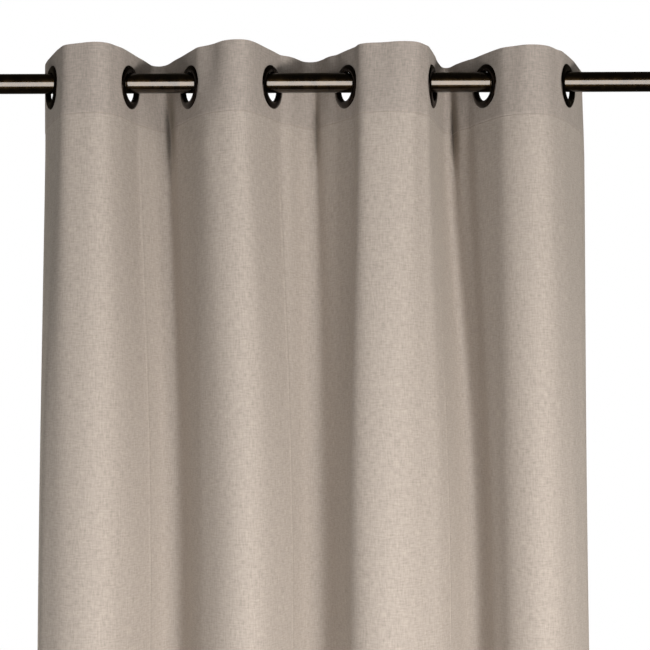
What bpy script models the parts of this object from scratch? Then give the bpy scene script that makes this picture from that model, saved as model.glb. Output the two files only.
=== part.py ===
"""One eyelet curtain on a round rod, held by two wall brackets.

Metres, +Z up. The wall is the plane y = 0 and the room is towards -Y. The origin is on the wall, at the
height of the rod's axis, midway between the two brackets.
"""

import math

import bmesh
import bpy
from mathutils import Vector

# Rod and its end caps
ROD_RADIUS = 0.014
ROD_WALL = 0.0012
ROD_LENGTH = 1.200
ROD_FROM_WALL = 0.110
CAP_RADIUS = 0.0165
CAP_DEPTH = 0.007
CAP_RIM = 0.0015
CAP_STEM_LENGTH = 0.022

# Brackets
BRACKET_FROM_MIDDLE = 0.528
PLATE_RADIUS = 0.027
PLATE_DEPTH = 0.005
PLATE_EDGE = 0.001
ARM_RADIUS = 0.006
ARM_COLLAR_RADIUS = 0.009
ARM_COLLAR_DEPTH = 0.006
ARM_COLLAR_SLOPE = 0.002
CRADLE_WIDTH = 0.020
CRADLE_WALL = 0.0025
CRADLE_RISE = 0.010
CRADLE_PLAY = 0.0004
CRADLE_STEPS = 16
CLAMP_SHANK_RADIUS = 0.0019
CLAMP_HEAD_RADIUS = 0.0065
CLAMP_HEAD_LENGTH = 0.009
CLAMP_HEAD_EDGE = 0.0008
CLAMP_HEAD_STANDOFF = 0.0009
WALL_SCREW_OFFSET = 0.018
WALL_SCREW_RADIUS = 0.0020
WALL_SCREW_HEAD_RADIUS = 0.0042
WALL_SCREW_HEAD_DEPTH = 0.0026

# Cloth: the panel lies flat at 8 eyelets a pitch apart, with an edge beyond the first and the last
CLOTH_PITCH = 0.183
CLOTH_EDGE = 0.0845
CLOTH_DROP = 2.450
CLOTH_THICKNESS = 0.002
CLOTH_ABOVE_EYELET = 0.049
CLOTH_HOLE_RADIUS = 0.022
CLOTH_FLAT_BY_EYELET = 0.034
FOLD_FULLNESS = 0.62
FOLD_GAP = 0.001
FOLD_STEPS = 7

# Eyelets: the place of each along the rod, and the angle between its wall of cloth and the rod
EYELET_HOLE_RADIUS = 0.020
EYELET_OUTER_RADIUS = 0.031
EYELET_BARREL_WALL = 0.001
EYELET_BARREL_DEPTH = 0.0016
EYELET_THROAT_HALF = 0.001
EYELET_THROAT_FLARE = 0.0005
EYELET_INNER_ROUNDING = 0.0016
EYELET_OUTER_ROUNDING = 0.0025
EYELET_SHOULDER = 0.0024
EYELET_RISE = 0.0032
EYELET_PLACES = (-0.368, -0.259, -0.174, -0.059, 0.047, 0.167, 0.242, 0.358)
EYELET_ANGLES = (66.0, 74.0, 61.5, 65.5, 61.0, 76.0, 63.5, 64.0)

GAP = 0.0003
ROUND_STEPS = 32
SMALL_ROUND_STEPS = 24
NO_MERGE = 0.00001
CUTTER_LENGTH = 0.020
BISECTIONS = 40

ROD_Y = -ROD_FROM_WALL
EYELET_Z = ROD_RADIUS + GAP - EYELET_HOLE_RADIUS
CLOTH_TOP = EYELET_Z + CLOTH_ABOVE_EYELET
FRONT, BACK = -1, 1


# ---------------------------------------------------------------- scene and helpers


def clear_scene():
    for old in list(bpy.data.objects):
        bpy.data.objects.remove(old, do_unlink=True)


def new_collection(name):
    collection = bpy.data.collections.new(name)
    bpy.context.scene.collection.children.link(collection)
    return collection


def material(name, colour, roughness, metallic=0.0):
    made = bpy.data.materials.new(name)
    made.use_nodes = True
    shader = made.node_tree.nodes["Principled BSDF"]
    shader.inputs["Base Color"].default_value = (*colour, 1.0)
    shader.inputs["Roughness"].default_value = roughness
    shader.inputs["Metallic"].default_value = metallic
    return made


def empty_at(name, place):
    pivot = bpy.data.objects.new(name, None)
    pivot.location = place
    PARTS.objects.link(pivot)
    return pivot


def add_object(name, mesh, place, finish, pivot=None):
    """An object at a place in the world, carried by the empty on its joint's axis if it has one."""
    made = bpy.data.objects.new(name, mesh)
    made.location = Vector(place) - (pivot.location if pivot else Vector((0, 0, 0)))
    made.parent = pivot
    mesh.materials.append(finish)
    PARTS.objects.link(made)
    return made


def outline_mesh(name, points, closed):
    """A line of edges through (x, z) points, in the XZ plane."""
    shape = bmesh.new()
    corners = [shape.verts.new((x, 0, z)) for x, z in points]
    for first, second in zip(corners, corners[1:]):
        shape.edges.new((first, second))
    if closed:
        shape.edges.new((corners[-1], corners[0]))
    mesh = bpy.data.meshes.new(name)
    shape.to_mesh(mesh)
    shape.free()
    return mesh


def turned(name, profile, place, finish, steps=ROUND_STEPS, closed=False, pivot=None):
    """A profile of (radius, height) points, listed with the outer side going down, turned about Z."""
    made = add_object(name, outline_mesh(name, profile, closed), place, finish, pivot)
    screw = made.modifiers.new("turn", "SCREW")
    screw.steps = screw.render_steps = steps
    screw.use_merge_vertices = True
    screw.merge_threshold = NO_MERGE
    screw.use_smooth_shade = True
    weld = made.modifiers.new("close the poles", "WELD")
    weld.merge_threshold = NO_MERGE
    return made


def strip(name, points, direction, length, thickness, place, finish, pivot=None):
    """An open line of points, swept straight along a direction and given a thickness."""
    shape = bmesh.new()
    corners = [shape.verts.new(point) for point in points]
    line = [shape.edges.new(pair) for pair in zip(corners, corners[1:])]
    swept = bmesh.ops.extrude_edge_only(shape, edges=line)["geom"]
    new_corners = [part for part in swept if isinstance(part, bmesh.types.BMVert)]
    bmesh.ops.translate(shape, verts=new_corners, vec=Vector(direction) * length)
    mesh = bpy.data.meshes.new(name)
    shape.to_mesh(mesh)
    shape.free()
    mesh.shade_smooth()
    made = add_object(name, mesh, place, finish, pivot)
    wall = made.modifiers.new("thickness", "SOLIDIFY")
    wall.thickness = thickness
    wall.offset = 0.0
    wall.use_even_offset = True
    return made


def cut_round(target, name, radius, place, turn, depth=CUTTER_LENGTH, end_radius=None):
    """Cuts a round hole, or a tapered one, through the target. The cutter runs along its own Z."""
    shape = bmesh.new()
    bmesh.ops.create_cone(
        shape,
        cap_ends=True,
        segments=ROUND_STEPS,
        radius1=radius,
        radius2=radius if end_radius is None else end_radius,
        depth=depth,
    )
    mesh = bpy.data.meshes.new(name)
    shape.to_mesh(mesh)
    shape.free()
    cutter = bpy.data.objects.new(name, mesh)
    cutter.location = place
    cutter.rotation_euler = turn
    cutter.hide_render = True
    cutter.display_type = "WIRE"
    CUTTERS.objects.link(cutter)
    hole = target.modifiers.new(name, "BOOLEAN")
    hole.operation = "DIFFERENCE"
    hole.solver = "EXACT"
    hole.object = cutter


# ---------------------------------------------------------------- the plan of the folds


def bezier(start, start_handle, end_handle, end, steps):
    points = []
    for step in range(steps + 1):
        t = step / steps
        u = 1.0 - t
        points.append(
            start * u**3 + start_handle * 3 * u * u * t + end_handle * 3 * u * t * t + end * t**3
        )
    return points


def half_fold(place, angle, crest_x, depth, side):
    """Points in plan from an eyelet's centre to the crest of the fold beside it."""
    along = 1.0 if crest_x > place else -1.0
    way = Vector((along * math.cos(math.radians(angle)), side * math.sin(math.radians(angle))))
    eyelet = Vector((place, 0.0))
    flat_end = eyelet + way * CLOTH_FLAT_BY_EYELET
    crest = Vector((crest_x, side * depth))
    rise = FOLD_FULLNESS * (depth - abs(flat_end.y)) / abs(way.y)
    run = FOLD_FULLNESS * (crest_x - flat_end.x)
    curve = bezier(flat_end, flat_end + way * rise, crest - Vector((run, 0.0)), crest, FOLD_STEPS)
    return [eyelet] + curve


def length_of(points):
    return sum((second - first).length for first, second in zip(points, points[1:]))


def fold_depth(index, side):
    """How deep the fold after this eyelet is, so that the cloth in it is one pitch long."""
    crest_x = crest_place(index)
    shallow, deep = CLOTH_FLAT_BY_EYELET + CLOTH_THICKNESS, CLOTH_PITCH / 2
    for _ in range(BISECTIONS):
        depth = (shallow + deep) / 2
        cloth = sum(
            length_of(half_fold(EYELET_PLACES[i], EYELET_ANGLES[i], crest_x, depth, side))
            for i in (index, index + 1)
        )
        if cloth < CLOTH_PITCH:
            shallow = depth
        else:
            deep = depth
    return depth


def crest_place(index):
    """The crest between this eyelet and the next is midway, so both stay on the rod as the fold closes."""
    return (EYELET_PLACES[index] + EYELET_PLACES[index + 1]) / 2


def side_after(index):
    """The first fold is at the front, and the rest follow back and front in turn."""
    return FRONT if index % 2 == 0 else BACK


def crest_point(index):
    return Vector((crest_place(index), side_after(index) * fold_depth(index, side_after(index))))


def free_edge(index, along):
    """The straight piece of cloth from the first or the last eyelet back to the panel's side edge."""
    turn = math.radians(EYELET_ANGLES[index])
    way = Vector((along * math.cos(turn), BACK * math.sin(turn)))
    return [Vector((EYELET_PLACES[index], 0.0)), Vector((EYELET_PLACES[index], 0.0)) + way * CLOTH_EDGE]


def wall_plan(index):
    """The plan of one wall of cloth, from the crest on its left to the crest on its right."""
    place, angle = EYELET_PLACES[index], EYELET_ANGLES[index]
    last = len(EYELET_PLACES) - 1
    if index == 0:
        left = free_edge(0, -1.0)
    else:
        crest = crest_point(index - 1)
        side = side_after(index - 1)
        left = half_fold(place, angle, crest.x, abs(crest.y), side)
        left[-1] = crest + Vector((FOLD_GAP / 2, 0.0))
    if index == last:
        right = free_edge(last, 1.0)
    else:
        crest = crest_point(index)
        right = half_fold(place, angle, crest.x, abs(crest.y), side_after(index))
        right[-1] = crest - Vector((FOLD_GAP / 2, 0.0))
    return left[:0:-1] + right[1:]


# ---------------------------------------------------------------- rod and brackets


def make_rod():
    half = ROD_LENGTH / 2
    bore = ROD_RADIUS - ROD_WALL
    profile = [(ROD_RADIUS, half), (ROD_RADIUS, -half), (bore, -half), (bore, half)]
    rod = turned("rod", profile, (0, ROD_Y, 0), BRONZE, closed=True)
    rod.rotation_euler = (0, math.pi / 2, 0)


def make_end_cap(side, sign):
    stem = ROD_RADIUS - ROD_WALL - GAP
    round_corner = CAP_RIM * (1 - math.cos(math.radians(45)))
    profile = [
        (0, CAP_DEPTH),
        (CAP_RADIUS - CAP_RIM, CAP_DEPTH),
        (CAP_RADIUS - round_corner, CAP_DEPTH - round_corner),
        (CAP_RADIUS, CAP_DEPTH - CAP_RIM),
        (CAP_RADIUS, GAP),
        (stem, GAP),
        (stem, -CAP_STEM_LENGTH + CAP_RIM),
        (stem - CAP_RIM, -CAP_STEM_LENGTH),
        (0, -CAP_STEM_LENGTH),
    ]
    pivot = empty_at(f"end_cap_{side}_slide", (sign * ROD_LENGTH / 2, ROD_Y, 0))
    cap = turned(f"end_cap_{side}", profile, pivot.location, BRONZE, pivot=pivot)
    cap.rotation_euler = (0, sign * math.pi / 2, 0)


def make_wall_plate(side, x):
    profile = [
        (0, PLATE_DEPTH),
        (PLATE_RADIUS - PLATE_EDGE, PLATE_DEPTH),
        (PLATE_RADIUS, PLATE_DEPTH - PLATE_EDGE),
        (PLATE_RADIUS, 0),
        (0, 0),
    ]
    plate = turned(f"wall_plate_{side}", profile, (x, 0, 0), BRONZE)
    plate.rotation_euler = (math.pi / 2, 0, 0)
    for name, z in (("upper", WALL_SCREW_OFFSET), ("lower", -WALL_SCREW_OFFSET)):
        make_wall_screw(side, name, plate, x, z)


def make_wall_screw(side, name, plate, x, z):
    """A countersunk screw, shown as far as the wall, and its hole in the plate."""
    radius = WALL_SCREW_RADIUS
    head = WALL_SCREW_HEAD_RADIUS
    top = PLATE_DEPTH - GAP
    taper_end = top - WALL_SCREW_HEAD_DEPTH
    profile = [(0, top), (head, top), (radius, taper_end), (radius, GAP), (0, GAP)]
    screw = turned(f"wall_screw_{side}_{name}", profile, (x, 0, z), BRONZE, steps=SMALL_ROUND_STEPS)
    screw.rotation_euler = (math.pi / 2, 0, 0)
    turn = (math.pi / 2, 0, 0)
    through = radius + GAP
    cut_round(plate, f"hole_{side}_{name}", through, (x, 0, z), turn)
    sink = WALL_SCREW_HEAD_DEPTH + 2 * GAP
    widening = (head + 2 * GAP - through) * (1 + GAP / sink)
    middle = -(PLATE_DEPTH + GAP - (sink + GAP) / 2)
    cut_round(
        plate, f"sink_{side}_{name}", through, (x, middle, z), turn, sink + GAP, through + widening
    )


def make_arm(side, x):
    """A round bar from the plate to the back of the cradle, with a collar against the plate."""
    start = PLATE_DEPTH + GAP
    end = ROD_FROM_WALL - ROD_RADIUS - CRADLE_PLAY - CRADLE_WALL - GAP
    profile = [
        (0, end),
        (ARM_RADIUS, end),
        (ARM_RADIUS, start + ARM_COLLAR_DEPTH),
        (ARM_COLLAR_RADIUS, start + ARM_COLLAR_DEPTH - ARM_COLLAR_SLOPE),
        (ARM_COLLAR_RADIUS, start),
        (0, start),
    ]
    arm = turned(f"bracket_arm_{side}", profile, (x, 0, 0), BRONZE, steps=SMALL_ROUND_STEPS)
    arm.rotation_euler = (math.pi / 2, 0, 0)


def make_cradle(side, x):
    """A bent strap, open at the top, that the rod is laid in."""
    middle = ROD_RADIUS + CRADLE_PLAY + CRADLE_WALL / 2
    turns = [math.pi * step / CRADLE_STEPS for step in range(CRADLE_STEPS + 1)]
    bend = [Vector((0, -middle * math.cos(turn), -middle * math.sin(turn))) for turn in turns]
    line = [bend[0] + Vector((0, 0, CRADLE_RISE))] + bend + [bend[-1] + Vector((0, 0, CRADLE_RISE))]
    start = (x - CRADLE_WIDTH / 2, ROD_Y, 0)
    cradle = strip(f"cradle_{side}", line, (1, 0, 0), CRADLE_WIDTH, CRADLE_WALL, start, BRONZE)
    cut_round(
        cradle,
        f"clamp_hole_{side}",
        CLAMP_SHANK_RADIUS + GAP,
        (x, ROD_Y - middle, 0),
        (math.pi / 2, 0, 0),
    )


def make_clamp_screw(side, x):
    """A thumb screw through the front of the cradle, with its point against the rod."""
    tip = ROD_RADIUS + GAP
    head = ROD_RADIUS + CRADLE_PLAY + CRADLE_WALL + CLAMP_HEAD_STANDOFF
    end = head + CLAMP_HEAD_LENGTH
    profile = [
        (0, end),
        (CLAMP_HEAD_RADIUS - CLAMP_HEAD_EDGE, end),
        (CLAMP_HEAD_RADIUS, end - CLAMP_HEAD_EDGE),
        (CLAMP_HEAD_RADIUS, head + CLAMP_HEAD_EDGE),
        (CLAMP_HEAD_RADIUS - CLAMP_HEAD_EDGE, head),
        (CLAMP_SHANK_RADIUS, head),
        (CLAMP_SHANK_RADIUS, tip),
        (0, tip),
    ]
    pivot = empty_at(f"clamp_screw_{side}_turn", (x, ROD_Y, 0))
    screw = turned(
        f"clamp_screw_{side}", profile, pivot.location, BRONZE, steps=SMALL_ROUND_STEPS, pivot=pivot
    )
    screw.rotation_euler = (math.pi / 2, 0, 0)


# ---------------------------------------------------------------- cloth and eyelets


def make_cloth(index, pivot):
    number = index + 1
    base = CLOTH_TOP - CLOTH_DROP
    line = [Vector((point.x, ROD_Y + point.y, base)) - pivot.location for point in wall_plan(index)]
    cloth = strip(
        f"cloth_{number}",
        line,
        (0, 0, 1),
        CLOTH_DROP,
        CLOTH_THICKNESS,
        pivot.location,
        CLOTH,
        pivot=pivot,
    )
    cut_round(
        cloth,
        f"eyelet_hole_{number}",
        CLOTH_HOLE_RADIUS,
        (EYELET_PLACES[index], ROD_Y, EYELET_Z),
        eyelet_turn(index),
    )


def eyelet_turn(index):
    """Turns Z to the normal of the wall of cloth, out of its face side."""
    slope = math.radians(EYELET_ANGLES[index]) * side_after(index)
    return (math.pi / 2, 0, slope)


def make_eyelet(index, pivot):
    """The front half has the barrel that goes through the cloth. The back washer is pressed on it."""
    number = index + 1
    place = (EYELET_PLACES[index], ROD_Y, EYELET_Z)
    hole = EYELET_HOLE_RADIUS / math.cos(math.pi / SMALL_ROUND_STEPS)
    outer = EYELET_OUTER_RADIUS
    barrel = hole + EYELET_BARREL_WALL
    washer = barrel + GAP
    cloth_face = CLOTH_THICKNESS / 2 + GAP
    ridge = (hole + outer) / 2
    front_profile = [
        (hole + EYELET_INNER_ROUNDING, cloth_face + EYELET_SHOULDER),
        (ridge, cloth_face + EYELET_RISE),
        (outer - EYELET_OUTER_ROUNDING, cloth_face + EYELET_SHOULDER),
        (outer, cloth_face),
        (barrel, cloth_face),
        (barrel, -cloth_face - EYELET_BARREL_DEPTH),
        (hole + EYELET_THROAT_FLARE, -cloth_face - EYELET_BARREL_DEPTH),
        (hole, -EYELET_THROAT_HALF),
        (hole, EYELET_THROAT_HALF),
        (hole + EYELET_THROAT_FLARE, cloth_face + EYELET_THROAT_HALF),
    ]
    back_profile = [
        (outer, -cloth_face),
        (outer - EYELET_OUTER_ROUNDING, -cloth_face - EYELET_SHOULDER),
        (ridge, -cloth_face - EYELET_RISE),
        (washer, -cloth_face - EYELET_SHOULDER),
        (washer, -cloth_face),
    ]
    for name, profile in (("front", front_profile), ("back", back_profile)):
        ring = turned(
            f"eyelet_{name}_{number}",
            profile,
            place,
            BRONZE,
            steps=SMALL_ROUND_STEPS,
            closed=True,
            pivot=pivot,
        )
        ring.rotation_euler = eyelet_turn(index)


def make_wall_of_cloth(index):
    """One wall of the folds, which turns about its eyelet if it is the first, or about the crest before it."""
    hinge = crest_point(index - 1) if index else Vector((EYELET_PLACES[0], 0.0))
    pivot = empty_at(f"fold_{index + 1}_axis", (hinge.x, ROD_Y + hinge.y, 0))
    make_cloth(index, pivot)
    make_eyelet(index, pivot)


clear_scene()
PARTS = new_collection("window_curtain_on_rod")
CUTTERS = new_collection("cutters")
BRONZE = material("dark bronze steel", (0.022, 0.018, 0.015), 0.32, 1.0)
CLOTH = material("greige linen weave", (0.34, 0.29, 0.24), 0.92)

make_rod()
for side_name, side_sign in (("left", -1), ("right", 1)):
    bracket_x = side_sign * BRACKET_FROM_MIDDLE
    make_end_cap(side_name, side_sign)
    make_wall_plate(side_name, bracket_x)
    make_arm(side_name, bracket_x)
    make_cradle(side_name, bracket_x)
    make_clamp_screw(side_name, bracket_x)
for wall_index in range(len(EYELET_PLACES)):
    make_wall_of_cloth(wall_index)
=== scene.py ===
import math

import bmesh
import bpy
import numpy as np
from mathutils import Matrix, Vector


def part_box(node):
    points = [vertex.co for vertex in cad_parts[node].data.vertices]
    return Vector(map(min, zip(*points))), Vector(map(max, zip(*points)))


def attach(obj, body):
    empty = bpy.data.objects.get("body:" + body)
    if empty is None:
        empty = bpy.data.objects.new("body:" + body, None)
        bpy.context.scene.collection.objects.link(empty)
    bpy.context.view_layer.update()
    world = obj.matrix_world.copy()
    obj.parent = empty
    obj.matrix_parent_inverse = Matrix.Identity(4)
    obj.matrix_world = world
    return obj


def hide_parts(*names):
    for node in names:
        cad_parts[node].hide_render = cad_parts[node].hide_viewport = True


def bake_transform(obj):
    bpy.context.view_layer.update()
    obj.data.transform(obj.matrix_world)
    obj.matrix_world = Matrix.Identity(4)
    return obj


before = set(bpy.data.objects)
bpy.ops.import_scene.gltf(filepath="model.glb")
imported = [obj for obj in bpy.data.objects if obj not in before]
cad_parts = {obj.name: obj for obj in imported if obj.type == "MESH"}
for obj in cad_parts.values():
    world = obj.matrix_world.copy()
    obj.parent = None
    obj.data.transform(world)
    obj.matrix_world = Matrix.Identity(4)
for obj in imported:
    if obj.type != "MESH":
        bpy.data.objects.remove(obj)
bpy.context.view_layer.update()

# ------------------------------------------------------------------ rod
# A drawn steel tube, 28 mm across with a 1.2 mm wall, sprayed with a dark bronze lacquer and baked.
# The lacquer is thin and glossy, so the rod shows one sharp line of light and goes dark above it.

ROD_WALL = 0.0012
ROD_SIDES = 96
ROD_CUTS = 11
ROD_EDGE = 0.0003

low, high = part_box("rod")
ROD_Y = (low.y + high.y) / 2
ROD_RADIUS = (high.z - low.z) / 2
ROD_HALF = high.x


def linear(hex_colour):
    """An sRGB hex colour as linear RGBA."""
    parts = [int(hex_colour[i : i + 2], 16) / 255 for i in (1, 3, 5)]
    return (*[c / 12.92 if c <= 0.04045 else ((c + 0.055) / 1.055) ** 2.4 for c in parts], 1.0)


def add_node(tree, kind, settings=None, links=None):
    """Adds a node. Settings are its properties or input values by name, links say what feeds each input."""
    node = tree.nodes.new(kind)
    for name, value in (settings or {}).items():
        if isinstance(name, str) and hasattr(node, name):
            setattr(node, name, value)
        else:
            node.inputs[name].default_value = value
    for name, source in (links or {}).items():
        tree.links.new(source, node.inputs[name])
    return node


def new_material(name, settings):
    """A material whose Principled shader is set as given: (material, node tree, shader)."""
    made = bpy.data.materials.new(name)
    made.use_nodes = True
    tree = made.node_tree
    shader = tree.nodes["Principled BSDF"]
    for socket, value in settings.items():
        shader.inputs[socket].default_value = value
    return made, tree, shader


def begin_edit(piece, kind="VERT"):
    """Opens a piece in edit mode with nothing selected and gives its bmesh."""
    bpy.ops.object.select_all(action="DESELECT")
    bpy.context.view_layer.objects.active = piece
    piece.select_set(True)
    bpy.ops.object.mode_set(mode="EDIT")
    bpy.ops.mesh.select_mode(type=kind)
    bpy.ops.mesh.select_all(action="DESELECT")
    return bmesh.from_edit_mesh(piece.data)


def pick(piece, kind, test):
    """Selects the piece's vertices, edges or faces that pass a test on their middle point."""
    shape = begin_edit(piece, kind)
    parts = {"VERT": shape.verts, "EDGE": shape.edges, "FACE": shape.faces}[kind]
    for part in parts:
        if kind == "VERT":
            middle = part.co
        elif kind == "EDGE":
            middle = (part.verts[0].co + part.verts[1].co) / 2
        else:
            middle = part.calc_center_median()
        if test(middle):
            part.select_set(True)
    shape.select_flush_mode()
    bmesh.update_edit_mesh(piece.data)


def end_edit():
    bpy.ops.object.mode_set(mode="OBJECT")


def settle(piece, smooth=32.0):
    """Applies the modifiers and the place of a finished piece, and shades it smooth across soft edges."""
    bpy.ops.object.select_all(action="DESELECT")
    bpy.context.view_layer.objects.active = piece
    piece.select_set(True)
    for modifier in list(piece.modifiers):
        bpy.ops.object.modifier_apply(modifier=modifier.name)
    bpy.ops.object.transform_apply(location=True, rotation=True, scale=True)
    bpy.ops.object.shade_smooth_by_angle(angle=math.radians(smooth))


def bevel(piece, width, segments=3, angle=40.0):
    rounding = piece.modifiers.new("rounding", "BEVEL")
    rounding.width = width
    rounding.segments = segments
    rounding.limit_method = "ANGLE"
    rounding.angle_limit = math.radians(angle)


def bronze_material(name, base, roughness, coat, speck_mm):
    """Dark bronze on metal: a nearly black brown between two base tones. A faint mottle makes its gloss not
    quite even, and the dimples are of the size given in mm."""
    made, tree, shader = new_material(
        name, {"Metallic": 1.0, "Coat Weight": coat, "Coat Roughness": 0.05, "Coat IOR": 1.5}
    )
    place = add_node(tree, "ShaderNodeTexCoord")
    mottle = add_node(
        tree,
        "ShaderNodeTexNoise",
        {"Scale": 1000 / (speck_mm * 14), "Detail": 5.0, "Roughness": 0.62},
        {"Vector": place.outputs["Object"]},
    )
    tone = add_node(tree, "ShaderNodeValToRGB", links={"Fac": mottle.outputs["Fac"]})
    tone.color_ramp.elements[0].position = 0.34
    tone.color_ramp.elements[0].color = linear(base[0])
    tone.color_ramp.elements[1].position = 0.68
    tone.color_ramp.elements[1].color = linear(base[1])
    tree.links.new(tone.outputs["Color"], shader.inputs["Base Color"])
    gloss = add_node(
        tree,
        "ShaderNodeMapRange",
        {"From Min": 0.3, "From Max": 0.7, "To Min": roughness * 0.85, "To Max": roughness * 1.2},
        {"Value": mottle.outputs["Fac"]},
    )
    tree.links.new(gloss.outputs["Result"], shader.inputs["Roughness"])
    grain = add_node(
        tree,
        "ShaderNodeTexNoise",
        {"Scale": 1000 / speck_mm, "Detail": 2.0},
        {"Vector": place.outputs["Object"]},
    )
    dimple = add_node(
        tree,
        "ShaderNodeBump",
        {"Strength": 0.12, "Distance": 0.0002},
        {"Height": grain.outputs["Fac"]},
    )
    tree.links.new(dimple.outputs["Normal"], shader.inputs["Normal"])
    return made


lacquer = bronze_material("bronze_lacquer_on_steel", ("#20180e", "#382b1a"), 0.30, 1.0, 1.2)

bpy.ops.object.select_all(action="DESELECT")
bpy.ops.mesh.primitive_cylinder_add(
    vertices=ROD_SIDES,
    radius=ROD_RADIUS,
    depth=2 * ROD_HALF,
    end_fill_type="NOTHING",
    location=(0, ROD_Y, 0),
    rotation=(0, math.pi / 2, 0),
)
rod_tube = bpy.context.object
rod_tube.name = rod_tube.data.name = "rod_tube"
pick(rod_tube, "EDGE", lambda middle: abs(middle.z) < ROD_HALF * 0.99)
bpy.ops.mesh.subdivide(number_cuts=ROD_CUTS)
end_edit()
wall = rod_tube.modifiers.new("wall", "SOLIDIFY")
wall.thickness = ROD_WALL
wall.offset = -1.0
bevel(rod_tube, ROD_EDGE, 2, 60.0)
rod_tube.data.materials.append(lacquer)
settle(rod_tube)
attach(rod_tube, "rod")
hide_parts("rod")

# ------------------------------------------------------------------ end caps
# A turned steel plug for each end of the tube: a button with a rounded rim and a shallow dish in its face,
# and a stem that is a push fit in the bore. It has the same lacquer as the rod.

CAP_SIDES = 64
CAP_ROUNDING = 0.00108
CAP_GAP = 0.0003
CAP_RIM_SHARE = 0.28
DISH_SLOPE = 0.0008
DISH_DEPTH = 0.0006
STEM_LENGTH = 0.022
STEM_PLAY = 0.0003

for side, sign in (("left", -1), ("right", 1)):
    low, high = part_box(f"end_cap_{side}")
    outer = high.x if sign > 0 else low.x
    seat = sign * ROD_HALF
    radius = (high.z - low.z) / 2
    bpy.ops.object.select_all(action="DESELECT")
    bpy.ops.mesh.primitive_cylinder_add(
        vertices=CAP_SIDES,
        radius=radius,
        depth=abs(outer - seat) - CAP_GAP,
        location=((outer + seat) / 2 + sign * CAP_GAP / 2, ROD_Y, 0),
        rotation=(0, sign * math.pi / 2, 0),
    )
    cap = bpy.context.object
    cap.name = cap.data.name = f"end_cap_{side}_button"
    half = abs(outer - seat) / 2
    pick(cap, "FACE", lambda middle: middle.z < -half * 0.8)
    bpy.ops.mesh.inset(thickness=radius - (ROD_RADIUS - ROD_WALL - STEM_PLAY), depth=0)
    bpy.ops.mesh.extrude_region_move(
        TRANSFORM_OT_translate={"value": (-sign * STEM_LENGTH, 0, 0)}
    )
    end_edit()
    pick(cap, "FACE", lambda middle: middle.z > half * 0.8)
    bpy.ops.mesh.inset(thickness=radius * CAP_RIM_SHARE, depth=0)
    bpy.ops.mesh.inset(thickness=DISH_SLOPE, depth=-DISH_DEPTH)
    end_edit()
    bevel(cap, CAP_ROUNDING, 4)
    cap.data.materials.append(lacquer)
    settle(cap)
    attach(cap, f"end_cap_{side}")
    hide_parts(f"end_cap_{side}")

# ------------------------------------------------------------------ brackets
# Two die-cast zinc brackets in the rod's bronze lacquer: a round plate with a raised rim, flat on the
# wall, a round arm with a collar at its foot, and a bent steel strap that the rod is laid in from above.

TURNED_STEPS = 72
CAST_EDGE = 0.0003
PLATE_FLAT = 4.5
SCREW_HOLE = 0.0023
SCREW_PLAY = 0.0004
CUT_OVERRUN = 0.0002
STRAP_WALL = 0.0025
STRAP_EDGE = 0.0005
# (radius, distance from the wall) in mm
PLATE_SECTION = (
    (0, 0), (27, 0), (27, 3.6), (26.3, 4.7), (25.2, 5.0), (24.2, 4.8), (23.4, PLATE_FLAT), (0, PLATE_FLAT),
)


def recalculate(piece):
    """Merges doubles and turns every face outwards."""
    pick(piece, "VERT", lambda middle: True)
    bpy.ops.mesh.remove_doubles(threshold=0.00001)
    bpy.ops.mesh.select_all(action="SELECT")
    bpy.ops.mesh.normals_make_consistent(inside=False)
    end_edit()


def turned(name, section):
    """A section in mm in the XZ plane, (radius, height), spun once round Z."""
    bpy.ops.object.select_all(action="DESELECT")
    bpy.ops.mesh.primitive_circle_add(vertices=len(section), radius=0.01)
    made = bpy.context.object
    made.name = made.data.name = name
    for corner, (radius, height) in zip(made.data.vertices, section):
        corner.co = (radius / 1000, 0, height / 1000)
    pick(made, "VERT", lambda middle: True)
    bpy.ops.mesh.spin(steps=TURNED_STEPS, angle=2 * math.pi, center=(0, 0, 0), axis=(0, 0, 1))
    end_edit()
    recalculate(made)
    pick(made, "VERT", lambda middle: True)
    bpy.ops.mesh.delete_loose()
    end_edit()
    return made


def cut(piece, cutter):
    """Takes a cutter's shape out of a piece, and removes the cutter."""
    hole = piece.modifiers.new("hole", "BOOLEAN")
    hole.object = cutter
    bpy.ops.object.select_all(action="DESELECT")
    bpy.context.view_layer.objects.active = piece
    piece.select_set(True)
    bpy.ops.object.modifier_apply(modifier=hole.name)
    bpy.data.objects.remove(cutter)


def fixed_to_wall(piece, material, node):
    """Finishes a piece that was made round its own Z axis: it points out of the wall at its CAD node."""
    low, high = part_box(node)
    piece.data.materials.append(material)
    place = Matrix.Translation(((low.x + high.x) / 2, 0, (low.z + high.z) / 2))
    piece.data.transform(place @ Matrix.Rotation(math.pi / 2, 4, "X"))
    settle(piece)
    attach(piece, "brackets")
    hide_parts(node)


casting = bronze_material("bronze_lacquer_on_zinc", ("#241a10", "#3d2f1f"), 0.26, 0.6, 1.6)

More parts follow.
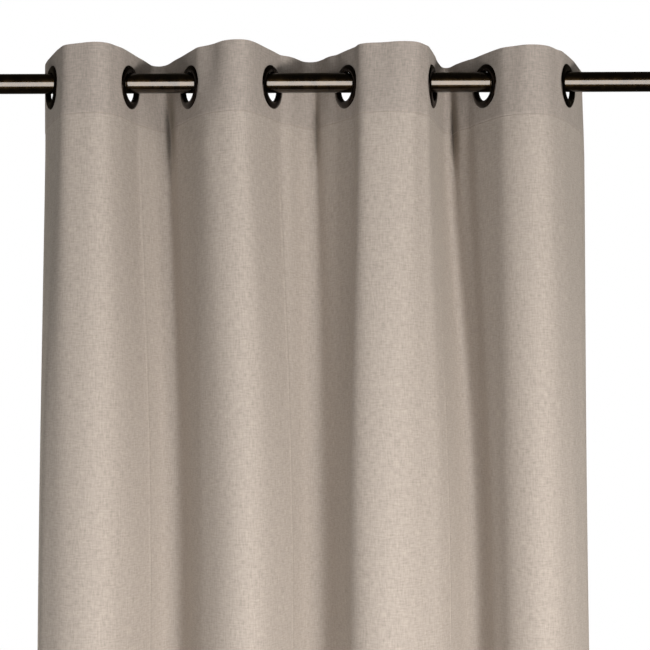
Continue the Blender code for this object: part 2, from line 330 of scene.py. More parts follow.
for side in ("left", "right"):
    plate = turned(f"wall_plate_{side}_disc", PLATE_SECTION)
    for end in ("upper", "lower"):
        screw_low, screw_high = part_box(f"wall_screw_{side}_{end}")
        bpy.ops.object.select_all(action="DESELECT")
        bpy.ops.mesh.primitive_cone_add(
            vertices=48,
            radius1=SCREW_HOLE,
            radius2=(screw_high.x - screw_low.x) / 2 + SCREW_PLAY,
            depth=PLATE_FLAT / 1000 + CUT_OVERRUN,
            location=(0, -(screw_low.z + screw_high.z) / 2, PLATE_FLAT / 2000),
        )
        cut(plate, bpy.context.object)
    bevel(plate, CAST_EDGE, 2, 50.0)
    fixed_to_wall(plate, casting, f"wall_plate_{side}")

    low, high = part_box(f"bracket_arm_{side}")
    foot = -high.y * 1000
    tip = -low.y * 1000
    arm = turned(
        f"bracket_arm_{side}_bar",
        (
            (0, foot), (9, foot), (9, foot + 3.8), (8.4, foot + 5.0), (7.0, foot + 5.8), (6.2, foot + 6.8),
            (6, foot + 8.5), (6, tip - 1.5), (7.5, tip - 0.2), (7.5, tip), (0, tip),
        ),
    )
    bevel(arm, CAST_EDGE, 2, 50.0)
    fixed_to_wall(arm, casting, f"bracket_arm_{side}")

# The strap is half a turn of 2.5 mm steel round the rod, which rises straight past the rod's axis in front
# and behind.
for side in ("left", "right"):
    low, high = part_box(f"cradle_{side}")
    middle_x = (low.x + high.x) / 2
    bpy.ops.object.select_all(action="DESELECT")
    bpy.ops.mesh.primitive_cylinder_add(
        vertices=TURNED_STEPS,
        radius=(high.y - low.y) / 2,
        depth=high.x - low.x,
        end_fill_type="NOTHING",
        location=(middle_x, ROD_Y, 0),
        rotation=(0, math.pi / 2, 0),
    )
    strap = bpy.context.object
    strap.name = strap.data.name = f"cradle_{side}_strap"
    bpy.ops.object.transform_apply(location=False, rotation=True, scale=True)
    pick(strap, "VERT", lambda middle: True)
    bpy.ops.mesh.bisect(plane_co=(middle_x, ROD_Y, 0), plane_no=(0, 0, 1), clear_outer=True)
    end_edit()
    pick(strap, "EDGE", lambda middle: abs(middle.z) < 0.00001 and abs(middle.x) < 0.001)
    bpy.ops.mesh.extrude_region_move(TRANSFORM_OT_translate={"value": (0, 0, high.z)})
    end_edit()
    recalculate(strap)
    wall = strap.modifiers.new("wall", "SOLIDIFY")
    wall.thickness = STRAP_WALL
    wall.offset = -1.0
    bevel(strap, STRAP_EDGE, 3, 50.0)
    strap.data.materials.append(casting)
    settle(strap)
    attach(strap, "brackets")
    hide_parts(f"cradle_{side}")

# ------------------------------------------------------------------ screws
# Four countersunk steel screws with a cross recess hold the plates to the wall, and a thumb screw with a
# knurled head goes through the front of each strap and bears on the rod. All are blackened in oil.

SCREW_SECTION = (
    (0, 0), (2.0, 0), (2.0, 2.0), (4.2, 4.3), (4.2, 4.6), (3.5, 4.9), (1.9, 5.15), (0, 5.2),
)
SCREW_TOP = 0.0052
SCREW_EDGE = 0.0001
# one slot of the cross recess: length, width and twice its depth
RECESS = (0.0046, 0.0010, 0.0034)
# how far each screw was turned when it was tight, in degrees
RECESS_TURNS = {
    ("left", "upper"): 12,
    ("left", "lower"): 49,
    ("right", "upper"): 71,
    ("right", "lower"): 30,
}
KNURLS = 32
KNURL_SHARE = 0.94
HEAD_LENGTH = 0.009
HEAD_RIM = 0.0009
HEAD_SLOPE = 0.0007
HEAD_STEP = 0.0006
HEAD_EDGE = 0.0003
SHANK_RADIUS = 0.0019

oiled = bronze_material("oil_blackened_steel", ("#17130f", "#3a3129"), 0.34, 0.0, 0.6)

for (side, end), turn in RECESS_TURNS.items():
    screw = turned(f"wall_screw_{side}_{end}_head", SCREW_SECTION)
    for quarter in (0, 90):
        bpy.ops.object.select_all(action="DESELECT")
        bpy.ops.mesh.primitive_cube_add(
            size=1.0,
            scale=RECESS,
            location=(0, 0, SCREW_TOP),
            rotation=(0, 0, math.radians(turn + quarter)),
        )
        cut(screw, bpy.context.object)
    bevel(screw, SCREW_EDGE, 2, 50.0)
    fixed_to_wall(screw, oiled, f"wall_screw_{side}_{end}")

for side in ("left", "right"):
    low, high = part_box(f"clamp_screw_{side}")
    centre = Vector(((low.x + high.x) / 2, low.y + HEAD_LENGTH / 2, (low.z + high.z) / 2))
    bpy.ops.object.select_all(action="DESELECT")
    bpy.ops.mesh.primitive_cylinder_add(
        vertices=2 * KNURLS,
        radius=(high.z - low.z) / 2,
        depth=HEAD_LENGTH,
        location=centre,
        rotation=(math.pi / 2, 0, 0),
    )
    thumb = bpy.context.object
    thumb.name = thumb.data.name = f"clamp_screw_{side}_knurled"
    bpy.ops.object.transform_apply(location=False, rotation=True, scale=True)
    pick(thumb, "VERT", lambda at: round(math.atan2(at.z, at.x) / math.pi * KNURLS) % 2 == 1)
    bpy.ops.transform.resize(value=(KNURL_SHARE, 1, KNURL_SHARE), center_override=centre)
    end_edit()
    pick(thumb, "FACE", lambda middle: middle.y < -HEAD_LENGTH * 0.45)
    bpy.ops.mesh.inset(thickness=HEAD_RIM, depth=HEAD_STEP)
    bpy.ops.mesh.inset(thickness=HEAD_SLOPE, depth=-HEAD_STEP)
    end_edit()
    pick(thumb, "FACE", lambda middle: middle.y > HEAD_LENGTH * 0.45)
    bpy.ops.mesh.inset(thickness=(high.z - low.z) / 2 - SHANK_RADIUS, depth=0)
    bpy.ops.mesh.extrude_region_move(
        TRANSFORM_OT_translate={"value": (0, high.y - centre.y - HEAD_LENGTH / 2, 0)}
    )
    end_edit()
    bevel(thumb, HEAD_EDGE, 2, 70.0)
    thumb.data.materials.append(oiled)
    settle(thumb, 20.0)
    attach(thumb, f"clamp_screw_{side}")
    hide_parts(f"clamp_screw_{side}")

# ------------------------------------------------------------------ eyelets
# Each eyelet is two pressed steel rings, plated dark bronze. The front one has a domed flange and a
# barrel that goes through the cloth, and the barrel's end is rolled over the washer at the back.

EYELETS = 8
# (radius, height over the cloth) in mm, once round the section
FRONT_SECTION = (
    (31.0, 0.9), (30.9, 1.6), (30.0, 2.5), (28.0, 3.5), (25.2, 4.1), (22.6, 3.9), (20.9, 2.9),
    (20.1, 1.4), (20.0, 0.0), (20.1, -1.6), (20.6, -2.9), (21.3, -3.5), (21.9, -3.2), (21.6, -2.4),
    (21.0, -1.2), (21.0, 0.5), (22.0, 1.2), (25.5, 1.3), (29.6, 0.9),
)
BACK_SECTION = (
    (31.0, -0.9), (29.5, -1.0), (22.2, -1.1), (21.4, -1.4), (21.6, -2.0), (22.8, -2.9), (25.0, -3.4),
    (27.8, -3.1), (30.0, -2.2), (30.8, -1.5),
)


def ring_frame(number):
    """The centre of an eyelet and the normal of its face, from its CAD node's mesh."""
    points = np.array([v.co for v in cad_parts[f"eyelet_back_{number}"].data.vertices])
    low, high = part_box(f"eyelet_front_{number}")
    spread = np.cov((points - points.mean(0)).T)
    normal = np.linalg.eigh(spread)[1][:, 0]
    normal = Vector(normal) * (-1 if normal[1] > 0 else 1)
    normal.z = 0
    normal.normalize()
    middle = Vector(points.mean(0))
    back = Vector(((low.x + high.x) / 2, ROD_Y, (low.z + high.z) / 2))
    return Vector((middle.x + normal.x * (back.y - middle.y) / normal.y, ROD_Y, back.z)), normal


def copy_of(piece, name, matrix):
    """A copy of a finished piece with its own mesh, put in place by a matrix."""
    made = piece.copy()
    made.data = piece.data.copy()
    made.name = made.data.name = name
    made.data.transform(matrix)
    bpy.context.scene.collection.objects.link(made)
    return made


plating = bronze_material("dark_bronze_plated_steel", ("#120d09", "#2a1e14"), 0.24, 0.3, 0.8)
front_ring = turned("eyelet_front", FRONT_SECTION)
back_ring = turned("eyelet_back", BACK_SECTION)
for ring in (front_ring, back_ring):
    smooth = ring.modifiers.new("smooth", "SUBSURF")
    smooth.levels = smooth.render_levels = 1
    settle(ring, 60.0)
EYELET_FRAMES = [ring_frame(number + 1) for number in range(EYELETS)]
for number, (centre, normal) in enumerate(EYELET_FRAMES, 1):
    turn = normal.to_track_quat("Z", "Y").to_matrix().to_4x4()
    for half, ring in (("front", front_ring), ("back", back_ring)):
        piece = copy_of(ring, f"eyelet_{half}_{number}_ring", Matrix.Translation(centre) @ turn)
        piece.data.materials.append(plating)
        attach(piece, f"fold_{number}")
        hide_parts(f"eyelet_{half}_{number}")
for pattern in (front_ring, back_ring):
    bpy.data.objects.remove(pattern)

# ------------------------------------------------------------------ cloth
# One panel of woven polyester with a linen look, 1.45 m wide and 2.45 m long when it lies flat, with a
# double header hem 100 mm deep, side hems and a bottom hem. It is made flat here, as it is sewn, with a
# hole for each eyelet, and then hung: every row of the weave follows the folds at its own height.

PITCH = 0.183
EDGE = 0.0845
FLAT_WIDTH = 7 * PITCH + 2 * EDGE
low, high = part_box("cloth_1")
TOP = high.z
DROP = high.z - low.z
HEADER = 0.100
SIDE_HEM = 0.025
BOTTOM_HEM = 0.080
SEAM_STEP = 0.0012
CLOTH_THICKNESS = 0.0009
COLUMNS = 420
ROWS = 300
CUT_RADIUS = 0.0245
STITCH_LENGTH = 0.0032
SEAM_MARGIN = 0.002
CREASES = (0.302, 0.657, 1.010)
# Painted shade, which darkens the cloth's colour in each pinched groove of the back folds under the rod,
# where the real folds are deeper and get little light: (flat distance, reach to each side, darkness).
# It is darkest at the middle, which lies below the top edge, and falls off above and below.
PAINTED_GROOVE_SHADE = ((0.382, 0.030, 1.0), (0.739, 0.015, 0.65), (1.105, 0.018, 1.0))
GROOVE_MIDDLE = 0.085
GROOVE_FALL = 0.085
RING_REACH = 0.029
LOW_REACH_LOSS = 0.35
LOW_FALL = 1.6
ROWS_CROWDING = 0.45
ROWS_SPREAD = 2.2
TOP_RAISE_REACH = 3 * HEADER
LINE_STEPS = 10
EVEN_POINTS = 1200
KERNEL_REACH = 3
# How far the cloth's stiffness rounds each corner of the plan: at the top edge, under the header, low down.
SOFT_TOP = 0.0040
SOFT_HEADER = 0.0070
SOFT_LOW = 0.0095

# The line that the cloth follows in plan, in mm from the rod's axis, at three distances below its top
# edge: left end, seven folds, right end. The eyelets lie between the folds. In the header the front folds
# are boxy and the back folds are tight tips, and three quarters of a metre lower they hang free and round.
PLAN_AT = (0.0, 0.13, 0.79)
PLANS = (
    (
        ((-388, 54), (-386, 82)),
        ((-350, -38), (-342, -51), (-322, -58), (-298, -64), (-283, -57), (-273, -39)),
        ((-246, 42), (-241, 60), (-236, 76), (-226, 79), (-214, 71), (-199, 44)),
        ((-151, -31), (-137, -42), (-124, -58), (-110, -65), (-92, -63), (-79, -45)),
        ((-36, 32), (-24, 49), (-14, 65), (1, 66), (12, 54), (24, 32)),
        ((63, -36), (72, -44), (96, -49), (119, -56), (143, -52), (156, -34)),
        ((176, 40), (182, 64), (190, 83), (198, 81), (207, 60), (221, 36)),
        ((264, -40), (277, -48), (293, -58), (311, -58), (325, -50), (340, -30)),
        ((380, 50), (392, 82)),
    ),
    (
        ((-387, 54), (-386, 82)),
        ((-352, -38), (-345, -51), (-322, -59), (-297, -63), (-282, -57), (-272, -39)),
        ((-243, 38), (-232, 58), (-219, 74), (-210, 76), (-204, 62), (-196, 38)),
        ((-153, -37), (-144, -48), (-130, -57), (-113, -64), (-95, -64), (-80, -44)),
        ((-37, 32), (-22, 52), (-6, 67), (5, 68), (11, 52), (25, 34)),
        ((60, -36), (67, -48), (92, -56), (119, -58), (137, -52), (152, -33)),
        ((177, 40), (184, 62), (192, 82), (201, 81), (210, 63), (222, 50)),
        ((261, -38), (271, -48), (286, -57), (304, -62), (323, -56), (341, -32)),
        ((382, 50), (394, 82)),
    ),
    (
        ((-387, 28), (-384, 74)),
        ((-366, -26), (-346, -46), (-318, -59), (-294, -61), (-275, -52), (-260, -32)),
        ((-231, 24), (-217, 48), (-204, 63), (-192, 63), (-182, 48), (-173, 26)),
        ((-148, -24), (-130, -45), (-107, -60), (-84, -61), (-66, -46), (-54, -26)),
        ((-28, 24), (-15, 48), (-2, 63), (10, 62), (22, 46), (31, 24)),
        ((46, -26), (57, -45), (80, -59), (108, -61), (132, -50), (156, -30)),
        ((196, 22), (209, 44), (220, 60), (230, 61), (239, 46), (246, 24)),
        ((259, -22), (273, -41), (296, -56), (316, -57), (336, -43), (351, -22)),
        ((378, 22), (387, 66)),
    ),
)
# Where the walls of cloth cross the rod's line at the lowest of the three, and how steep they are there.
LOW_CROSSING = (-380, -243, -163, -40, 40, 183, 251, 365)
LOW_STEEPNESS = (76, 64, 64, 62, 70, 58, 66, 64)
# How each end and fold has moved along the rod and grown deeper at the bottom hem, in mm and as a share.
HEM_MOVE = (-4, -8, 4, 8, -4, 6, -6, -8, 2)
HEM_GROWTH = (0.0, 0.06, -0.05, 0.05, 0.03, -0.04, 0.05, 0.04, 0.0)
# At the header's seam each back fold is pinched into a narrow groove: (flat distance, depth).
PINCHES = ((0.369, 0.015), (0.735, 0.009), (1.101, 0.016))
PINCH_HALF = 0.007
PINCH_REACH = 0.05
# How far the top edge stands above the CAD cloth's top, in mm: left end, eyelet 1, fold 1, eyelet 2, ...
TOP_RAISE = (-7, -2.5, 0, 1, 0, 1.7, 2.4, 3, 2.6, 2.6, 1.5, 1.6, -3, -3, -4.6, -5.4, -9.5)


def smoothstep(value):
    value = np.clip(value, 0.0, 1.0)
    return value * value * (3 - 2 * value)


def smooth_line(points, steps):
    """A smooth curve through points, with each stretch split evenly (a centripetal Catmull-Rom curve)."""
    before = 2 * points[0] - points[1]
    after = 2 * points[-1] - points[-2]
    points = np.vstack([before, points, after])
    knots = np.concatenate([[0], np.cumsum(np.linalg.norm(np.diff(points, axis=0), axis=1) ** 0.5)])
    made = []
    for i in range(1, len(points) - 2):
        t0, t1, t2, t3 = knots[i - 1 : i + 3]
        t = np.linspace(t1, t2, steps, endpoint=False)[:, None]
        a1 = (t1 - t) / (t1 - t0) * points[i - 1] + (t - t0) / (t1 - t0) * points[i]
        a2 = (t2 - t) / (t2 - t1) * points[i] + (t - t1) / (t2 - t1) * points[i + 1]
        a3 = (t3 - t) / (t3 - t2) * points[i + 1] + (t - t2) / (t3 - t2) * points[i + 2]
        b1 = (t2 - t) / (t2 - t0) * a1 + (t - t0) / (t2 - t0) * a2
        b2 = (t3 - t) / (t3 - t1) * a2 + (t - t1) / (t3 - t1) * a3
        made.append((t2 - t) / (t2 - t1) * b1 + (t - t1) / (t2 - t1) * b2)
    return np.vstack([*made, points[-2:-1]])


def ease(value):
    """From 0 to 1 at a nearly even rate, a little slower at both ends."""
    value = min(max(value, 0.0), 1.0)
    return 0.5 * value + 0.5 * float(smoothstep(value))


def row_plan(down):
    """The plan of the cloth at a distance below its top edge: points, and the flat distance of each."""
    upper = ease((down - PLAN_AT[0]) / (PLAN_AT[1] - PLAN_AT[0]))
    lower = 1 - (1 - ease((down - PLAN_AT[1]) / (PLAN_AT[2] - PLAN_AT[1]))) ** LOW_FALL
    hem = float(smoothstep((down - PLAN_AT[2]) / (DROP - PLAN_AT[2])))
    line, marks = [], []
    for k in range(EYELETS + 1):
        top_fold, header_fold, low_fold = (np.array(plan[k], float) for plan in PLANS)
        fold = top_fold + (header_fold - top_fold) * upper
        fold = fold + (low_fold - header_fold) * lower
        fold = fold * (1, 1 + HEM_GROWTH[k] * hem) + (HEM_MOVE[k] * hem, 0)
        line.extend(fold[::-1] / 1000 if k == 0 else fold / 1000)
        if k < EYELETS:
            centre, normal = EYELET_FRAMES[k]
            steep = math.radians(LOW_STEEPNESS[k]) * (-1 if k % 2 == 0 else 1)
            wall = np.array((-normal.y, normal.x))
            wall = wall + (np.array((math.cos(steep), math.sin(steep))) - wall) * lower
            move = (HEM_MOVE[k] + HEM_MOVE[k + 1]) / 2 * hem
            x = centre.x + (LOW_CROSSING[k] / 1000 - centre.x) * lower + move / 1000
            reach = RING_REACH * (1 - LOW_REACH_LOSS * lower)
            for share in (-1.0, -0.5, 0.0, 0.5, 1.0):
                line.append(np.array((x, 0.0)) + wall * reach * share)
            marks.append(len(line) - 3)
    curve = smooth_line(np.array(line), LINE_STEPS)
    run = np.concatenate([[0.0], np.cumsum(np.linalg.norm(np.diff(curve, axis=0), axis=1))])
    known_run = np.concatenate([[0.0], run[np.array(marks) * LINE_STEPS], [run[-1]]])
    known_flat = np.concatenate([[0.0], EDGE + np.arange(EYELETS) * PITCH, [FLAT_WIDTH]])
    even_run = np.linspace(0, run[-1], EVEN_POINTS)
    softness = SOFT_TOP + (SOFT_HEADER - SOFT_TOP) * upper + (SOFT_LOW - SOFT_HEADER) * lower
    spread = softness / even_run[1]
    reach = math.ceil(KERNEL_REACH * spread)
    kernel = np.exp(-0.5 * (np.arange(-reach, reach + 1) / spread) ** 2)
    soft = []
    for side in (0, 1):
        even = np.interp(even_run, run, curve[:, side])
        padded = np.pad(even, reach, mode="reflect", reflect_type="odd")
        soft.append(np.convolve(padded, kernel / kernel.sum(), mode="valid"))
    return np.stack(soft, axis=1), np.interp(even_run, known_run, known_flat)


def lines_with_seams(lines, seams):
    """Grid lines in order, with two close lines at each seam, where the cloth steps to double."""
    steps = [(seam - SEAM_STEP / 2, seam + SEAM_STEP / 2) for seam in seams]
    return np.sort(np.concatenate([lines, *steps]))


# The rows are close together in the header, where the eyelets are, and wider apart below it.
even = np.linspace(0, 1, ROWS + 1)
row_lines = lines_with_seams(
    DROP * ((1 - ROWS_CROWDING) * even + ROWS_CROWDING * even**ROWS_SPREAD), (HEADER, DROP - BOTTOM_HEM)
)
column_lines = lines_with_seams(
    np.linspace(0, FLAT_WIDTH, COLUMNS + 1), (SIDE_HEM, FLAT_WIDTH - SIDE_HEM)
)

bpy.ops.object.select_all(action="DESELECT")
bpy.ops.mesh.primitive_grid_add(
    x_subdivisions=len(column_lines) - 1, y_subdivisions=len(row_lines) - 1, size=2.0
)
panel = bpy.context.object
panel.name = panel.data.name = "flat_panel"
grid = np.array([v.co for v in panel.data.vertices])
column = np.rint((grid[:, 0] + 1) / 2 * (len(column_lines) - 1)).astype(int)
across = column_lines[column]
row_number = np.rint((1 - grid[:, 1]) / 2 * (len(row_lines) - 1)).astype(int)
down = row_lines[row_number]
flat_map = panel.data.uv_layers[0]
flat_map.name = "flat_cloth"
corner_vertex = np.zeros(len(panel.data.loops), np.int32)
panel.data.loops.foreach_get("vertex_index", corner_vertex)
flat_uv = np.stack([across[corner_vertex], DROP - down[corner_vertex]], axis=1)
flat_map.data.foreach_set("uv", flat_uv.astype(np.float32).ravel())

hung = np.zeros_like(grid)
raise_flat = np.concatenate(
    [[0.0], EDGE + np.arange(2 * EYELETS - 1) * PITCH / 2, [FLAT_WIDTH]]
)
for number, height in enumerate(row_lines):
    row = row_number == number
    line, flat = row_plan(height)
    hung[row, 0] = np.interp(across[row], flat, line[:, 0])
    hung[row, 1] = ROD_Y + np.interp(across[row], flat, line[:, 1])
    lift = np.interp(across[row], raise_flat, TOP_RAISE) / 1000
    hung[row, 2] = TOP - height + lift * (1 - smoothstep(height / TOP_RAISE_REACH))
    for place, depth in PINCHES:
        narrow = np.exp(-(((across[row] - place) / PINCH_HALF) ** 2))
        hung[row, 1] += depth * narrow * math.exp(-(((height - HEADER) / PINCH_REACH) ** 2))
panel.data.vertices.foreach_set("co", hung.astype(np.float32).ravel())
in_hem = (down < HEADER) | (down > DROP - BOTTOM_HEM)
in_side_hem = (across < SIDE_HEM) | (across > FLAT_WIDTH - SIDE_HEM)
double = in_hem | in_side_hem
hems = panel.vertex_groups.new(name="double_cloth")
hems.add(np.flatnonzero(double).tolist(), 1.0, "REPLACE")

# the eyelets' holes, whose cut edge the rings cover
shape = begin_edit(panel, "FACE")
for face in shape.faces:
    middle = face.calc_center_median()
    for centre, _ in EYELET_FRAMES:
        if (middle - centre).length < CUT_RADIUS:
            face.select_set(True)
bmesh.update_edit_mesh(panel.data)
bpy.ops.mesh.delete(type="FACE")
end_edit()


def near_line(tree, coordinate, place, reach):
    """1 on a straight line on the flat cloth, and 0 beyond its reach to each side, in metres."""
    offset = add_node(
        tree, "ShaderNodeMath", {"operation": "SUBTRACT", 1: place}, {0: coordinate}
    )
    distance = add_node(tree, "ShaderNodeMath", {"operation": "ABSOLUTE"}, {0: offset.outputs[0]})
    closeness = add_node(
        tree,
        "ShaderNodeMapRange",
        {"interpolation_type": "SMOOTHSTEP", "From Max": reach, "To Min": 1.0, "To Max": 0.0},
        {"Value": distance.outputs[0]},
    )
    return closeness.outputs["Result"]


def sewn_line(tree, along, across, place):
    """A row of lock stitches along a straight line: 1 on the thread, 0 between stitches and beside them.
    The thread, 0.4 mm, is drawn 0.9 mm wide to show."""
    beat = add_node(
        tree, "ShaderNodeMath", {"operation": "PINGPONG", 1: STITCH_LENGTH / 2}, {0: along}
    )
    dash = add_node(
        tree,
        "ShaderNodeMapRange",
        {"interpolation_type": "SMOOTHSTEP", "From Max": STITCH_LENGTH / 5},
        {"Value": beat.outputs[0]},
    )
    line = near_line(tree, across, place, 0.0009)
    thread = add_node(
        tree, "ShaderNodeMath", {"operation": "MULTIPLY"}, {0: dash.outputs["Result"], 1: line}
    )
    return thread.outputs[0]


def weighted(tree, terms):
    """The sum of (value, weight) terms."""
    total = None
    for value, weight in terms:
        part = add_node(
            tree, "ShaderNodeMath", {"operation": "MULTIPLY_ADD", 1: weight, 2: 0.0}, {0: value}
        )
        if total is not None:
            tree.links.new(total, part.inputs[2])
        total = part.outputs[0]
    return total


def linen_material():
    """Plain weave of heathered yarn: slubs along warp and weft make short light and dark dashes, and the
    fibres' ends give a faint sheen at grazing angles. The weave itself, 0.7 mm, is drawn at 1.3 mm to show.
    The folded packet has left three pressed creases. The hems carry painted shade: real single cloth lets a
    little light through from behind and the double hems less, but this cloth lets none through, so the hems'
    colour is made a little darker. The grooves of the back folds carry painted shade too, darker still,
    because the real ones are deeper than these and get less light."""
    made, tree, shader = new_material(
        "greige_linen_weave",
        {
            "Roughness": 0.86,
            "Specular IOR Level": 0.25,
            "Sheen Weight": 0.25,
            "Sheen Roughness": 0.45,
            "Sheen Tint": linear("#d8cfc2"),
        },
    )
    flat = add_node(tree, "ShaderNodeUVMap", {"uv_map": "flat_cloth"})
    sides = add_node(tree, "ShaderNodeSeparateXYZ", links={0: flat.outputs["UV"]})
    u, v = sides.outputs["X"], sides.outputs["Y"]
    noises = {}
    for name, scale, detail in (
        ("weft_slubs", (100, 500, 1), 3.0),
        ("warp_slubs", (480, 75, 1), 3.0),
        ("slack", (7, 1.6, 1), 2.0),
        ("gathers", (38, 7, 1), 1.0),
    ):
        stretched = add_node(
            tree, "ShaderNodeMapping", {"Scale": scale}, {"Vector": flat.outputs["UV"]}
        )
        noise = add_node(
            tree,
            "ShaderNodeTexNoise",
            {"Scale": 1.0, "Detail": detail, "Roughness": 0.6},
            {"Vector": stretched.outputs["Vector"]},
        )
        noises[name] = noise.outputs["Fac"]
    slubs = weighted(tree, [(noises["weft_slubs"], 1.0), (noises["warp_slubs"], 1.0)])
    tone = add_node(tree, "ShaderNodeMapRange", {"From Min": 0.72, "From Max": 1.28}, {"Value": slubs})
    yarn = add_node(tree, "ShaderNodeValToRGB", links={"Fac": tone.outputs["Result"]})
    yarn.color_ramp.elements[0].position = 0.0
    yarn.color_ramp.elements[0].color = linear("#8f867d")
    yarn.color_ramp.elements[1].position = 1.0
    yarn.color_ramp.elements[1].color = linear("#aba095")
    middle = yarn.color_ramp.elements.new(0.45)
    middle.color = linear("#9d938a")

    # painted shade on the double hems: their colour is multiplied a little darker in place of the light that
    # shines through single cloth
    hem_shade_masks = []
    for coordinate, inner, outer in (
        (v, DROP - HEADER, DROP - HEADER + SEAM_STEP),
        (v, BOTTOM_HEM, BOTTOM_HEM - SEAM_STEP),
        (u, SIDE_HEM, SIDE_HEM - SEAM_STEP),
        (u, FLAT_WIDTH - SIDE_HEM, FLAT_WIDTH - SIDE_HEM + SEAM_STEP),
    ):
        layer = add_node(
            tree, "ShaderNodeMapRange", {"From Min": inner, "From Max": outer}, {"Value": coordinate}
        )
        hem_shade_masks.append((layer.outputs["Result"], 1.0 if coordinate is v else 0.35))
    hems_painted_shade = add_node(
        tree,
        "ShaderNodeMix",
        {"data_type": "RGBA", "blend_type": "MULTIPLY", "clamp_factor": True, 7: (0.89, 0.89, 0.90, 1)},
        {0: weighted(tree, hem_shade_masks), 6: yarn.outputs["Color"]},
    )
    # painted shade: the cloth's colour is multiplied darker in the grooves of the back folds under the rod
    grooves = [(near_line(tree, u, place, reach), darkness) for place, reach, darkness in PAINTED_GROOVE_SHADE]
    at_rod = near_line(tree, v, DROP - GROOVE_MIDDLE, GROOVE_FALL)
    shaded = add_node(
        tree, "ShaderNodeMath", {"operation": "MULTIPLY"}, {0: weighted(tree, grooves), 1: at_rod}
    )
    groove_shaded_colour = add_node(
        tree,
        "ShaderNodeMix",
        {"data_type": "RGBA", "blend_type": "MULTIPLY", "clamp_factor": True, 7: (0.45, 0.41, 0.34, 1)},
        {0: shaded.outputs[0], 6: hems_painted_shade.outputs[2]},
    )
    stitches = weighted(
        tree,
        [
            (sewn_line(tree, u, v, DROP - HEADER + SEAM_MARGIN), 1.0),
            (sewn_line(tree, u, v, BOTTOM_HEM - SEAM_MARGIN), 1.0),
            (sewn_line(tree, v, u, SIDE_HEM - SEAM_MARGIN), 1.0),
            (sewn_line(tree, v, u, FLAT_WIDTH - SIDE_HEM + SEAM_MARGIN), 1.0),
        ],
    )
    sewn = add_node(
        tree,
        "ShaderNodeMix",
        {"data_type": "RGBA", "clamp_factor": True, 7: linear("#93887c")},
        {0: stitches, 6: groove_shaded_colour.outputs[2]},
    )
    tree.links.new(sewn.outputs[2], shader.inputs["Base Color"])

    below_header = add_node(
        tree,
        "ShaderNodeMapRange",
        {"From Min": DROP - 0.10, "From Max": DROP - 0.22},
        {"Value": v},
    )
    near_header = near_line(tree, v, DROP - HEADER, 0.11)
    gathered = add_node(
        tree, "ShaderNodeMath", {"operation": "MULTIPLY"}, {0: noises["gathers"], 1: near_header}
    )
    creases = weighted(tree, [(near_line(tree, u, place, 0.0045), 1.0) for place in CREASES])
    pressed = add_node(
        tree, "ShaderNodeMath", {"operation": "MULTIPLY"}, {0: creases, 1: below_header.outputs["Result"]}
    )
    pulled = weighted(
        tree,
        [(near_line(tree, v, place, 0.004), 1.0) for place in (DROP - HEADER + SEAM_MARGIN, BOTTOM_HEM)],
    )
    form = weighted(
        tree,
        [
            (noises["slack"], 0.0035),
            (gathered.outputs[0], 0.0012),
            (pressed.outputs[0], 0.0005),
            (pulled, -0.0004),
            (stitches, 0.0003),
        ],
    )
    shape = add_node(tree, "ShaderNodeBump", {"Strength": 1.0, "Distance": 1.0}, {"Height": form})
    weave = add_node(
        tree,
        "ShaderNodeTexBrick",
        {
            "offset": 0.5,
            "Scale": 1.0,
            "Mortar Size": 0.0002,
            "Mortar Smooth": 1.0,
            "Brick Width": 0.0013,
            "Row Height": 0.0013,
        },
        {"Vector": flat.outputs["UV"]},
    )
    threads = weighted(tree, [(slubs, 0.75), (weave.outputs["Fac"], 0.2)])
    relief = add_node(
        tree,
        "ShaderNodeBump",
        {"Strength": 0.25, "Distance": 0.0006},
        {"Height": threads, "Normal": shape.outputs["Normal"]},
    )
    tree.links.new(relief.outputs["Normal"], shader.inputs["Normal"])
    return made


linen = linen_material()
panel.data.materials.append(linen)


def flat_distance(data):
    """The flat distance across the panel of each vertex, read back from its flat map."""
    corner = np.zeros(len(data.loops), np.int32)
    data.loops.foreach_get("vertex_index", corner)
    uv = np.zeros(len(data.loops) * 2, np.float32)
    data.uv_layers["flat_cloth"].data.foreach_get("uv", uv)
    found = np.zeros(len(data.vertices))
    found[corner] = uv.reshape(-1, 2)[:, 0]
    return found


fold_pieces = []
for k in range(EYELETS - 1):
    piece = copy_of(panel, f"curtain_fold_{k + 1}", Matrix.Identity(4))
    start = 0.0 if k == 0 else EDGE + k * PITCH
    end = FLAT_WIDTH if k == EYELETS - 2 else EDGE + (k + 1) * PITCH
    spot = flat_distance(piece.data)
    shape = begin_edit(piece, "FACE")
    for face in shape.faces:
        middle = sum(spot[v.index] for v in face.verts) / len(face.verts)
        if not start <= middle <= end:
            face.select_set(True)
    bmesh.update_edit_mesh(piece.data)
    bpy.ops.mesh.delete(type="FACE")
    end_edit()
    fold_pieces.append(piece)
bpy.data.objects.remove(panel)

for k, piece in enumerate(fold_pieces):
    thickness = piece.modifiers.new("thickness", "SOLIDIFY")
    thickness.thickness = 2 * CLOTH_THICKNESS
    thickness.vertex_group = "double_cloth"
    thickness.thickness_vertex_group = 0.5
    thickness.offset = 0.0
    settle(piece, 40.0)
    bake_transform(piece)
    stands_for = [f"cloth_{k + 1}"] + ([f"cloth_{k + 2}"] if k == EYELETS - 2 else [])
    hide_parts(*stands_for)

# ------------------------------------------------------------------ room
# A pale floor 30 mm under the hem, which glows a little, a soft key light low at the front right, a fill, a
# bounce from the left, one lamp behind, and a large panel in front that makes the line along the rod.

FLOOR_GAP = 0.03
FLOOR_RADIUS = 3.2
bpy.ops.object.select_all(action="DESELECT")
bpy.ops.mesh.primitive_circle_add(
    vertices=64, radius=FLOOR_RADIUS, fill_type="NGON", location=(0, ROD_Y, TOP - DROP - FLOOR_GAP)
)
floor = bpy.context.object
floor.name = "floor"
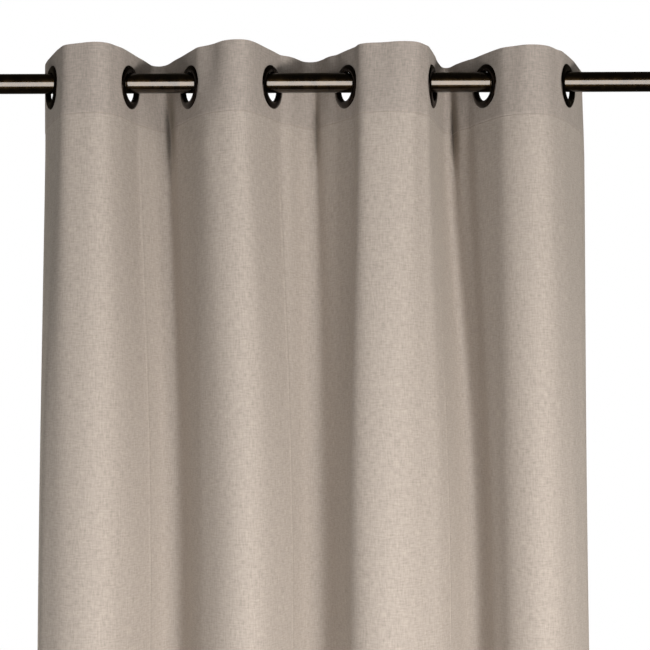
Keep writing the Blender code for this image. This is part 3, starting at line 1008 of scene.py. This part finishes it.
# a matt painted board, lit from inside
floor_paint, _, _ = new_material(
    "pale_matt_paint",
    {
        "Base Color": linear("#e9e7e4"),
        "Roughness": 0.8,
        "Emission Color": linear("#f4f2ef"),
        "Emission Strength": 0.62,
    },
)
floor.data.materials.append(floor_paint)


def area_light(name, place, target, size, power, colour):
    lamp = bpy.data.lights.new(name, "AREA")
    lamp.shape = "RECTANGLE"
    lamp.size, lamp.size_y = size
    lamp.energy = power
    lamp.color = linear(colour)[:3]
    holder = bpy.data.objects.new(name, lamp)
    holder.location = place
    holder.rotation_euler = (Vector(target) - Vector(place)).to_track_quat("-Z", "Y").to_euler()
    bpy.context.scene.collection.objects.link(holder)


area_light("key", (1.25, -2.5, -1.58), (-0.45, ROD_Y, -0.75), (0.9, 0.7), 94, "#fffdfb")
area_light("fill", (0.0, -2.9, -0.86), (0.0, ROD_Y, -0.3), (2.6, 0.44), 22, "#ffffff")
area_light("bounce", (-1.1, -1.5, -2.2), (-0.1, ROD_Y, -1.3), (1.6, 0.9), 12, "#ffffff")
area_light("strip", (0.0, -2.9, -1.07), (0.0, ROD_Y, -1.07), (2.7, 2.66), 195, "#ffffff")
area_light("back", (-0.7, 2.5, -0.9), (0.0, 0.0, -1.2), (2.4, 2.0), 95, "#fffaf4")
# Of the lamps and the floor only the strip is mirrored in the metal, and it does not light the cloth.
floor.visible_glossy = False
for name in ("key", "fill", "bounce", "back"):
    bpy.data.objects[name].visible_glossy = False
bpy.data.objects["strip"].visible_diffuse = False

# The camera sees a white backdrop. The cloth gets a dim light from all round, less from above, and the metal
# mirrors a dark room.
world = bpy.data.worlds.new("studio")
bpy.context.scene.world = world
world.use_nodes = True
sky = world.node_tree
sky.nodes.clear()
seen = add_node(sky, "ShaderNodeBackground", {"Color": (1, 1, 1, 1), "Strength": 1.0})
toward = add_node(sky, "ShaderNodeTexCoord")
height = add_node(sky, "ShaderNodeSeparateXYZ", links={0: toward.outputs["Generated"]})
dimming = add_node(
    sky,
    "ShaderNodeMapRange",
    {"From Min": -0.35, "From Max": 0.25, "To Min": 0.38, "To Max": 0.06},
    {"Value": height.outputs["Z"]},
)
around = add_node(
    sky,
    "ShaderNodeBackground",
    {"Color": linear("#d2d2d0")},
    {"Strength": dimming.outputs["Result"]},
)
dark = add_node(sky, "ShaderNodeBackground", {"Color": linear("#5b5346"), "Strength": 0.30})
ray = add_node(sky, "ShaderNodeLightPath")
mirrored = add_node(sky, "ShaderNodeMixShader", links={0: ray.outputs["Is Glossy Ray"]})
sky.links.new(around.outputs[0], mirrored.inputs[1])
sky.links.new(dark.outputs[0], mirrored.inputs[2])
either = add_node(sky, "ShaderNodeMixShader", links={0: ray.outputs["Is Camera Ray"]})
sky.links.new(mirrored.outputs[0], either.inputs[1])
sky.links.new(seen.outputs[0], either.inputs[2])
add_node(sky, "ShaderNodeOutputWorld", links={"Surface": either.outputs[0]})
bpy.context.scene.view_settings.view_transform = "Standard"

CAMERA_BACK = 2.100
CAMERA_BELOW = 0.4892
CAMERA_RIGHT = 0.0152
CAMERA_PITCH = 4.0
CAMERA_ROLL = 0.21
FOCAL = 1509.3 / 650
camera = bpy.data.cameras.new("camera")
camera.sensor_width = 36.0
camera.lens = 36.0 * FOCAL
viewer = bpy.data.objects.new("camera", camera)
viewer.location = (CAMERA_RIGHT, ROD_Y - CAMERA_BACK, -CAMERA_BELOW)
tilt = Matrix.Rotation(math.radians(90 + CAMERA_PITCH), 4, "X")
roll = Matrix.Rotation(math.radians(-CAMERA_ROLL), 4, "Z")
viewer.rotation_euler = (tilt @ roll).to_euler()
bpy.context.scene.collection.objects.link(viewer)
bpy.context.scene.camera = viewer
